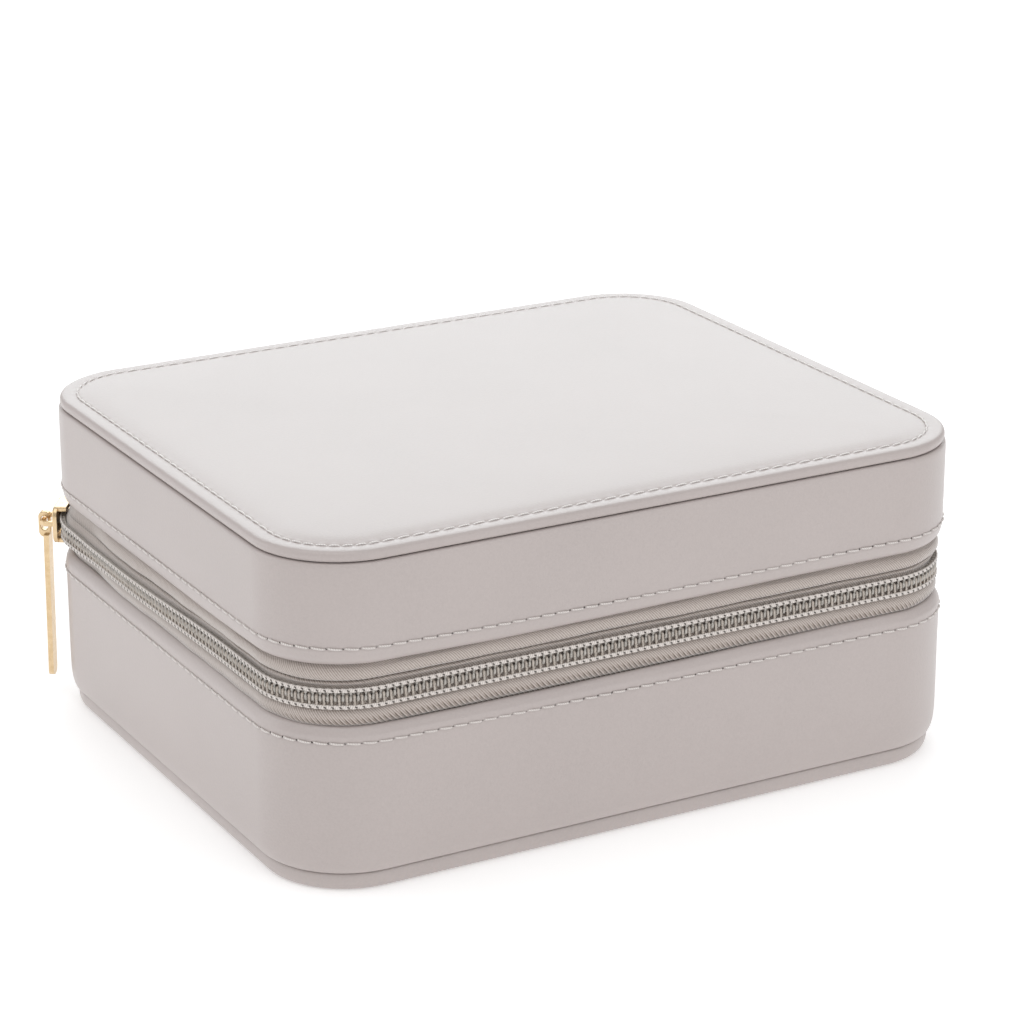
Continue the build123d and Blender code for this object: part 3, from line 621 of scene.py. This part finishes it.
# underside, over the padding
first = len(verts)
under = at(ALL, 3.2, zr - 1.1)
cap = at(ALL, 10.0, zr - 0.95)
verts = np.vstack([verts, under, cap])
for i in range(n):
    j = (i + 1) % n
    faces.append((i * k, first + i, first + j, j * k))
    faces.append((first + i, first + n + i, first + n + j, first + j))
faces.append([first + n + i for i in range(n)][::-1])
lid_top = new_mesh("lid_top_padded", verts, faces, [leather])
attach(lid_top, "lid"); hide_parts("lid_top_panel")

# bottom panel: leather with a rounded edge, flat underneath, a hair above its lowest point
lo_b, hi_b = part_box("bottom_panel")
zt = hi_b[2] / MM
bprof = chaikin([(5.0, zt - 0.05), (3.2, zt), (2.3, zt), (1.75, zt - 0.35), (1.62, zt - 1.3), (1.7, zt - 2.6), (2.05, zt - 3.6), (2.8, zt - 4.3), (3.9, zt - 4.5), (6.0, zt - 4.5)], 2)
bs = columns()
# the leather is gathered in fine pleats where it turns round the corners
_, bn = path(bs)
corner = np.clip(1 - np.abs(np.abs(bn[:, 0]) - np.abs(bn[:, 1])) / 0.9, 0, 1)
pleat = corner * (0.5 + 0.5 * np.sin(bs * 2 * math.pi / 1.55 + 0.8 * np.sin(bs * 0.9)))
bverts = np.concatenate([at(bs, i + 0.16 * pleat * math.exp(-((zz - (zt - 0.7)) / 0.9) ** 2), zz)[:, None, :] for i, zz in bprof], 1)
n3, kb = len(bs), len(bprof)
bfaces = []
I, J = np.meshgrid(np.arange(n3), np.arange(kb - 1), indexing="ij")
I2 = (I + 1) % n3
bfaces += np.stack([I * kb + J, I * kb + J + 1, I2 * kb + J + 1, I2 * kb + J], 2).reshape(-1, 4).tolist()
bfaces.append([i * kb for i in range(n3)])
bfaces.append([i * kb + kb - 1 for i in range(n3)][::-1])
bottom = new_mesh("bottom_cover", bverts.reshape(-1, 3), bfaces, [leather])
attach(bottom, "base"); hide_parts("bottom_panel")

# ------------------------------------------------------------------ leather stitching
def stitch_row(name, body, place, slant=0.15, hole=None, yarn=None, radius=0.24):
    """Threads and needle holes. place(s, h, q) gives points h proud of the surface, q across the row."""
    lines = []
    ss = np.append(STITCH_S, TOTAL)
    for a, b_ in zip(ss[:-1], ss[1:]):
        w = b_ - a
        t = np.array([0.085, 0.125, 0.20, 0.33, 0.5, 0.67, 0.80, 0.875, 0.915])
        h = np.array([-0.26, -0.02, 0.10, 0.16, 0.18, 0.16, 0.10, -0.02, -0.26])
        q = slant * (1 - 2 * t)
        lines.append(place(a + w * t, h, q))
    o = tubes(name + "_thread", lines, lambda m: radius * np.array([0.8, 0.9, 1, 1.05, 1.05, 1.05, 1, 0.9, 0.8])[:m], 8, [yarn or thread])
    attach(o, body)
    # needle holes: small cones coloured with painted shade
    V, F = [], []
    for i, a in enumerate(STITCH_S):
        sides = 10
        ring = [place(np.array([a + 0.26 * math.cos(t)]), np.array([-0.12]), np.array([0.06 + 0.21 * math.sin(t)]))[0] for t in np.arange(sides) * 2 * math.pi / sides]
        deep = place(np.array([a]), np.array([-0.40]), np.array([0.06]))[0]
        V += ring + [deep]
        base = i * (sides + 1)
        for j in range(sides):
            F.append((base + j, base + (j + 1) % sides, base + sides))
    h_ = new_mesh(name + "_needle_holes", V, F, [hole or needle_hole_shade_mat])
    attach(h_, body)


stitch_row("base_stitch", "base", lambda s, h, q: at(s, -h, ST_BASE + q + drape("base_row", s)))
stitch_row("lid_stitch", "lid", lambda s, h, q: at(s, -h, ST_LID + q + drape("lid_row", s)))
# the top row takes the lighter thread (painted light) and the faint painted hole shade
stitch_row("top_stitch", "lid", lambda s, h, q: at(s, ST_TOP - q, zr - 0.02 + h), hole=top_hole_faint_shade_mat, yarn=thread_top_painted_light, radius=0.205)

# ------------------------------------------------------------------ zip tapes
TAPE_S0, TAPE_S1 = HX - 6.0, TOTAL - HX + 6.0
tape_s = np.linspace(TAPE_S0, TAPE_S1, 900)


def ease(x):
    x = np.clip(x, 0, 1)
    return x * x * (3 - 2 * x)


def out(s, v=0.0):
    """How far the chain stands out where the slider pulls it off the wall; v runs from -1, lower row, to 1, upper row."""
    lean = ease((s - S0 - 3) / 14)
    return (1.8 - 0.15 * lean + 0.45 * lean * v) * ease((s - s_at_phi(52)) / (s_at_phi(40) - s_at_phi(52))) * (1 - ease((s - S0 - 34) / 58))


def tape_band(name, normal, sign, t=0.42):
    """A tape: its profile away from the slider, a flatter one in the slider's stretch, t thick."""
    p = chaikin([(i, sign * z) for i, z in normal], 2)
    ins, z = p[:, 0], p[:, 1]
    flat = np.where(ins < 2.45, 2.42, ins)
    n, k = len(tape_s), len(p)
    w = (1 - ease((tape_s - S0 - 9) / 16))[:, None]
    tail = ease((TAPE_S1 - tape_s) / 14.0)[:, None]
    w = np.maximum(w, 1 - tail)
    wav = (0.09 * np.sin(tape_s * 0.21 + 0.6) + 0.06 * np.sin(tape_s * 0.47))[:, None] * (1 - w) * (ins < 1.9)[None]
    m = np.interp(np.abs(z), [2.6, 3.4, 4.7, 7.0], [1, 0.68, 0.45, 0])
    I = (1 - w) * ins[None] + w * flat[None] + wav - out(tape_s, sign)[:, None] * m[None]
    Z = np.repeat(z[None], n, 0) + PART + 0.12 * np.sin(tape_s * 0.13)[:, None] * (1 - w) * (ins < 1.6)[None]
    I = np.concatenate([I, (I + t)[:, ::-1]], 1)
    Z = np.concatenate([Z, Z[:, ::-1]], 1)
    A, N = path(tape_s)
    xy = A[:, None, :] + (R - I)[:, :, None] * N[:, None, :]
    verts = np.concatenate([xy, Z[:, :, None]], 2).reshape(-1, 3)
    kk = 2 * k
    a_, j = np.meshgrid(np.arange(n - 1), np.arange(kk), indexing="ij")
    j2 = (j + 1) % kk
    faces = np.stack([a_ * kk + j, (a_ + 1) * kk + j, (a_ + 1) * kk + j2, a_ * kk + j2], 2).reshape(-1, 4).tolist()
    faces.append(list(range(kk))[::-1])
    faces.append([(n - 1) * kk + q for q in range(kk)])
    v = np.concatenate([[0], np.cumsum(np.hypot(*np.diff(p, axis=0).T))]) * sign
    v = np.concatenate([v, v[::-1]])
    pv = np.stack([np.repeat(tape_s[:, None], kk, 1), np.repeat(v[None], n, 0), np.zeros((n, kk))], 2).reshape(-1, 3)
    return new_mesh(name, verts, faces, [tape_mat], pv)


tape_up = tape_band("zip_tape_upper_woven", [(2.42, 0.25), (2.42, 1.4), (2.36, 2.5), (2.05, 3.0), (1.75, 3.25), (1.85, 3.6), (2.5, 3.9),
                    (2.55, 4.02), (1.75, 4.15), (1.12, 4.5), (0.84, 5.0), (0.80, 5.6), (0.92, 6.25), (1.35, 6.85), (2.1, 7.3), (2.56, 7.75), (2.58, 8.6), (2.58, 12.0)], 1)
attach(tape_up, "lid"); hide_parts("zipper_tape_upper")
tape_dn = tape_band("zip_tape_lower_woven", [(2.42, 0.25), (2.42, 1.4), (2.36, 2.45), (1.95, 2.85), (1.5, 3.2), (1.18, 3.75), (1.0, 4.4), (0.98, 5.1),
                    (1.15, 5.75), (1.55, 6.3), (2.05, 6.75), (2.52, 7.2), (2.58, 8.4), (2.58, 11.2)], -1)
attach(tape_dn, "base"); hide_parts("zipper_tape_lower")

# ------------------------------------------------------------------ zip coils and their sewing
PITCH = 1.78
COIL_S0 = s_at_phi(38)
COIL_S1 = TOTAL - 64.5
TURNS = int((COIL_S1 - COIL_S0) / PITCH)
SAMPLES = 18


def coil(name, sign, offset, mat):
    t = np.arange(TURNS * SAMPLES + 1) / SAMPLES
    k_, th = np.floor(t), (t % 1.0) * 2 * math.pi
    c, s_ = np.cos(th), np.sin(th)
    zz = PART + sign * (0.74 + 1.28 * np.sign(-c) * np.abs(c) ** 0.75)
    ins = 1.66 - 0.40 * np.sign(s_) * np.abs(s_) ** 0.55
    f = np.where(th <= math.pi, 0.06 * th / math.pi, 0.06 + 0.94 * (th - math.pi) / math.pi)
    ss = COIL_S0 + (k_ + f + offset) * PITCH
    head = np.clip((-sign * (zz - PART) + 0.2) / 0.6, 0, 1)
    pts = at(ss, ins - out(ss, (zz - PART) / 1.98), zz)
    o = tubes(name, [pts], lambda m: 0.315 + 0.06 * head[:m], 8, [mat])
    return o


cu = coil("zip_coil_upper_loops", 1, 0.0, coil_mat)
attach(cu, "lid"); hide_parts("zipper_coil_upper")
cl = coil("zip_coil_lower_loops", -1, 0.5, coil_warm)
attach(cl, "base"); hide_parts("zipper_coil_lower")


def chain_row(name, body, z0, phase):
    """A flat chain stitch: a band of thread, swelling once a stitch, with a dark patch of painted shade where the loop
    opens at each stitch.
    """
    s = np.arange(COIL_S0, COIL_S1, PITCH / 10)
    u = (s - COIL_S0) / PITCH + phase
    swell = np.abs(np.sin(math.pi * u)) ** 0.6
    half = 0.40 + 0.10 * swell
    ring = [(1, 0.0), (0.86, 0.62), (0.35, 0.95), (-0.35, 0.95), (-0.86, 0.62), (-1, 0.0), (-0.86, -0.62), (-0.35, -0.95), (0.35, -0.95), (0.86, -0.62)]
    n, k = len(s), len(ring)
    A, N = path(s)
    I = (1.02 - out(s, np.sign(z0)))[:, None] - (0.16 + 0.08 * swell)[:, None] * np.array([r[1] for r in ring])[None]
    Z = PART + z0 + half[:, None] * np.array([r[0] for r in ring])[None] + 0.05 * np.sin(2 * math.pi * u)[:, None]
    xy = A[:, None, :] + (R - I)[:, :, None] * N[:, None, :]
    a_, j = np.meshgrid(np.arange(n - 1), np.arange(k), indexing="ij")
    j2 = (j + 1) % k
    faces = np.stack([a_ * k + j, a_ * k + j2, (a_ + 1) * k + j2, (a_ + 1) * k + j], 2).reshape(-1, 4).tolist()
    faces += [list(range(k)), [(n - 1) * k + q for q in range(k)][::-1]]
    pv = np.stack([np.repeat(s[:, None], k, 1), np.repeat(Z[:, :1] * 0, k, 1) + np.arange(k)[None] / k, np.zeros((n, k))], 2).reshape(-1, 3)
    o = new_mesh(name, np.concatenate([xy, Z[:, :, None]], 2).reshape(-1, 3), faces, [zip_thread], pv)
    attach(o, body)
    # the open loops: flat patches coloured with painted shade
    V, F = [], []
    sides = 10
    for i in range(int(s[-1] - s[0]) and int((s[-1] - s[0]) / PITCH)):
        c0 = COIL_S0 + (i + 1 - phase) * PITCH
        th = np.arange(sides) * 2 * math.pi / sides
        du, dw = 0.38 * np.cos(th), 0.185 * np.sin(th)
        ca, sa = math.cos(math.radians(-32)), math.sin(math.radians(-32))
        ds_, dz_ = du * ca - dw * sa, du * sa + dw * ca
        V.append(at(c0 + ds_, 1.02 - 0.258 - out(c0 + ds_, np.sign(z0)), PART + z0 + dz_))
        F.append([i * sides + q for q in range(sides)])
    h = new_mesh(name + "_loops", np.vstack(V), F, [chain_gap_shade_mat])
    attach(h, body)


chain_row("zip_sewing_upper", "lid", 1.98, 0.3)
chain_row("zip_sewing_lower", "base", -1.98, 0.3)

# ------------------------------------------------------------------ hinge spine and its lining
def strip(name, pts, half_x, t, m, nx=70):
    p = chaikin(pts, 2)
    prof = np.vstack([p, (p + np.array([t, 0]))[::-1]])
    xs = np.linspace(-half_x, half_x, nx)
    V, P_ = [], []
    k_ = len(prof)
    for x in xs:
        fade = 1 - math.exp(-((half_x - abs(x)) / 1.2))
        for q, (i_, z_) in enumerate(prof):
            V.append((x, W / 2 - (i_ + 0.06 * math.sin(x * 0.31 + z_) * fade), z_))
            P_.append((x, z_, 0))
    F = []
    for a in range(nx - 1):
        for q in range(k_):
            q2 = (q + 1) % k_
            F.append((a * k_ + q, a * k_ + q2, (a + 1) * k_ + q2, (a + 1) * k_ + q))
    F.append(list(range(k_))[::-1])
    F.append([(nx - 1) * k_ + q for q in range(k_)])
    return new_mesh(name, V, F, [m], P_)


zz = np.linspace(Z_BASE1 + 0.6, Z_LID0 - 0.6, 26)
bulge = 2.35 - 1.05 * np.sin(np.pi * (zz - zz[0]) / (zz[-1] - zz[0])) ** 0.6 + 0.10 * np.cos((zz - PART) * 2.2)
spine_pts = [(2.62, Z_BASE1 - 4), (2.58, Z_BASE1 - 0.4)] + list(zip(bulge, zz)) + [(2.58, Z_LID0 + 0.4), (2.62, Z_LID0 + 3.5)]
spine = strip("hinge_spine_leather", spine_pts, 63.5, 0.35, leather_spine, 90)
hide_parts("hinge_spine")
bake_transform(spine)
lin_pts = [(3.5, z_) for z_ in np.linspace(Z_BASE1 - 0.1, Z_LID0 + 0.1, 30)]
lin = strip("hinge_lining_fabric", lin_pts, 63.0, 0.5, velvet, 90)
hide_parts("hinge_lining")
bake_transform(lin)

# ------------------------------------------------------------------ wall padding as soft-edged rings
def pad_ring(name, node, body):
    a, b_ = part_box(node)
    z0, z1 = a[2] / MM, b_[2] / MM
    prof = chaikin([(3.12, z0), (5.28, z0), (5.28, (z0 + z1) / 2), (5.28, z1), (3.12, z1), (3.12, (z0 + z1) / 2)], 2, True)
    o = sweep(name, ALL[::6], prof, [foam_mat])
    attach(o, body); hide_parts(node)


pad_ring("base_wall_padding", "base_wall_foam", "base")
pad_ring("lid_wall_padding", "lid_wall_foam", "lid")
a, b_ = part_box("lid_top_foam")
z0, z1 = a[2] / MM, b_[2] / MM
rr_ = chaikin([(3.7, z0 + 0.05), (3.6, (z0 + z1) / 2), (3.8, z1 - 0.2), (6, z1)], 1)
fs = ALL[::6]
fv = np.concatenate([at(fs, i, q)[:, None, :] for i, q in rr_], 1)
nf, kf = len(fs), len(rr_)
ff = []
for i in range(nf):
    j = (i + 1) % nf
    for q in range(kf - 1):
        ff.append((i * kf + q, j * kf + q, j * kf + q + 1, i * kf + q + 1))
ff.append([i * kf for i in range(nf)][::-1])
ff.append([i * kf + kf - 1 for i in range(nf)])
topfoam = new_mesh("lid_top_padding", fv.reshape(-1, 3), ff, [foam_mat])
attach(topfoam, "lid"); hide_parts("lid_top_foam")

# ------------------------------------------------------------------ ring rolls: padded velvet rolls with gathered ends
for r_i in range(1, 6):
    node = f"ring_roll_{r_i}"
    a, b_ = [np.array(q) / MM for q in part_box(node)]
    x0, x1 = a[0] + 0.15, b_[0] - 0.15
    cy, ry = (a[1] + b_[1]) / 2, (b_[1] - a[1]) / 2 - 0.12
    zb, zt_ = a[2], b_[2]
    rz = (zt_ - zb) / 2 - 0.05
    cz = (zb + zt_) / 2
    nl, na = 90, 40
    V = []
    for i in range(nl + 1):
        u_ = i / nl
        x = x0 + (x1 - x0) * u_
        e = min(u_, 1 - u_) * (x1 - x0)
        cap_ = math.sqrt(max(0.0, 1 - (1 - min(e, 2.6) / 2.6) ** 2)) if e < 2.6 else 1.0
        cap_ = max(cap_, 0.05)
        full = 1 - 0.018 * math.cos(u_ * math.pi * 6 + r_i)
        for j in range(na):
            th = 2 * math.pi * j / na
            y = math.cos(th) * ry * (0.35 + 0.65 * cap_) * min(full, 1.0) if cap_ < 1 else math.cos(th) * ry * min(full, 1.0)
            zq = math.sin(th) * rz * (0.30 + 0.70 * cap_ if cap_ < 1 else 1) * min(full, 1.0)
            if e < 3:
                y *= 1 + 0.02 * math.sin(th * 9 + r_i) * (1 - e / 3)
                zq *= 1 + 0.02 * math.sin(th * 9 + r_i) * (1 - e / 3)
            V.append((x, cy + y, max(zb + 0.02, cz + zq)))
    F = []
    for i in range(nl):
        for j in range(na):
            F.append((i * na + j, i * na + (j + 1) % na, (i + 1) * na + (j + 1) % na, (i + 1) * na + j))
    F.append(list(range(na)))
    F.append([nl * na + j for j in range(na)][::-1])
    o = new_mesh(f"ring_roll_{r_i}_padded", V, F, [velvet_roll])
    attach(o, "tray"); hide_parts(node)

# lift ribbons: folded loops of satin, standing at the tray's ends
for side in ("left", "right"):
    node = f"lift_ribbon_{side}"
    a, b_ = [np.array(q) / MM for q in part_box(node)]
    sgn = -1 if side == "left" else 1
    xi, xo = (a[0], b_[0]) if side == "left" else (b_[0], a[0])
    xm = (a[0] + b_[0]) / 2
    line = [(xm + 0.28 * sgn, z_) for z_ in np.linspace(a[2], b_[2] - 0.5, 16)]
    line += [(xm + 0.28 * sgn * math.cos(t), b_[2] - 0.5 + 0.4 * math.sin(t)) for t in np.linspace(0.3, math.pi - 0.3, 5)]
    line += [(xm - 0.28 * sgn, z_) for z_ in np.linspace(b_[2] - 0.5, a[2], 16)]
    line = np.array(line)
    ny = 12
    V, F = [], []
    for i, (x, z_) in enumerate(line):
        for j in range(ny + 1):
            V.append((x + 0.02 * math.sin(j * 0.9 + i * 0.3), a[1] + (b_[1] - a[1]) * j / ny, z_))
    for i in range(len(line) - 1):
        for j in range(ny):
            F.append((i * (ny + 1) + j, i * (ny + 1) + j + 1, (i + 1) * (ny + 1) + j + 1, (i + 1) * (ny + 1) + j))
    o = new_mesh(f"lift_ribbon_{side}_satin", V, F, [ribbon_mat])
    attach(o, "tray"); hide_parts(node)

# ------------------------------------------------------------------ materials on the CAD nodes that stay
PAINT = {
    "floor_board": board_mat, "base_wall_board": board_mat, "lid_top_board": board_mat, "lid_wall_board": board_mat,
    "mirror": mirror_mat, "mirror_frame": leather, "tray_shell": leather_tray, "ring_roll_bed": velvet,
}
for nme in ("floor_lining", "base_wall_lining", "tray_ledge", "lower_divider_long", "lower_divider_left", "lower_divider_right",
            "lid_wall_lining", "lid_ceiling_lining", "tray_floor_lining", "tray_divider_long", "tray_divider_front",
            "tray_divider_side", "tray_divider_back_left", "tray_divider_back_right"):
    PAINT[nme] = velvet
for nme in ("slider_body", "slider_bail", "pull_tab", "zipper_stop_lower", "zipper_stop_upper", "zipper_bottom_stop"):
    PAINT[nme] = gold
for nme, m in PAINT.items():
    o = NODES[nme]
    for sl in o.material_slots:
        sl.link = "OBJECT"
        sl.material = m

# ------------------------------------------------------------------ studio
floor_mat, nt, b = nodes_of("studio_floor")
link(nt, ramp(nt, noise_tex(nt, object_mm(nt), 0.002, 1), [(0.3, (0.90, 0.90, 0.90)), (0.7, (0.92, 0.92, 0.92))]), b.inputs["Base Color"])
b.inputs["Roughness"].default_value = 0.9
b.inputs["Specular IOR Level"].default_value = 0.1
b.inputs["Emission Color"].default_value = (1, 1, 1, 1)
b.inputs["Emission Strength"].default_value = 0.30
floor = new_mesh("studio_floor", [(-4000, -4000, -0.05), (4000, -4000, -0.05), (4000, 4000, -0.05), (-4000, 4000, -0.05)], [(0, 1, 2, 3)], [floor_mat])

sc = bpy.context.scene
world = bpy.data.worlds.new("studio")
sc.world = world
world.use_nodes = True
world.node_tree.nodes["Background"].inputs[0].default_value = (1, 1, 1, 1)
world.node_tree.nodes["Background"].inputs[1].default_value = 0.60
sc.view_settings.view_transform = "Standard"


def area(name, loc, target, size, energy, color=(1, 1, 1)):
    d = bpy.data.lights.new(name, "AREA")
    d.shape = "RECTANGLE"
    d.size, d.size_y = size
    d.energy = energy
    d.color = color
    o = bpy.data.objects.new(name, d)
    sc.collection.objects.link(o)
    o.location = loc
    o.rotation_euler = (Vector(target) - Vector(loc)).to_track_quat("-Z", "Y").to_euler()
    return o


area("top_softbox", (-0.25, -0.25, 1.45), (0, 0, 0.05), (1.5, 1.3), 6.6)
area("back_softbox", (0.62, 1.14, 0.62), (0, 0, 0.06), (1.3, 0.8), 7.1, (0.92, 0.98, 1.0))
area("front_softbox", (0.5, -1.85, 0.75), (0, 0, 0.04), (1.6, 1.1), 5.2)

area("left_softbox", (-1.5, 0.95, 0.55), (0, 0, 0.04), (1.0, 0.8), 3.9)

AZ, EL, ROLL, DIST = math.radians(-28.61259), math.radians(20.517684), math.radians(-0.20935), 0.832072
target = Vector((0, 0, 0.03976))
d = Vector((math.sin(AZ) * math.cos(EL), -math.cos(AZ) * math.cos(EL), math.sin(EL)))
x0_ = Vector((math.cos(AZ), math.sin(AZ), 0))
y0_ = d.cross(x0_)
x1_ = x0_ * math.cos(ROLL) + y0_ * math.sin(ROLL)
y1_ = -x0_ * math.sin(ROLL) + y0_ * math.cos(ROLL)
cam_d = bpy.data.cameras.new("camera")
cam_d.sensor_width = 36.0
cam_d.lens = 118.835
cam_d.shift_x, cam_d.shift_y = 0.016136, 0.05392
cam_d.clip_start, cam_d.clip_end = 0.05, 20
cam = bpy.data.objects.new("camera", cam_d)
sc.collection.objects.link(cam)
m4 = Matrix((x1_, y1_, d)).transposed().to_4x4()
m4.translation = target + d * DIST
cam.matrix_world = m4
sc.camera = cam
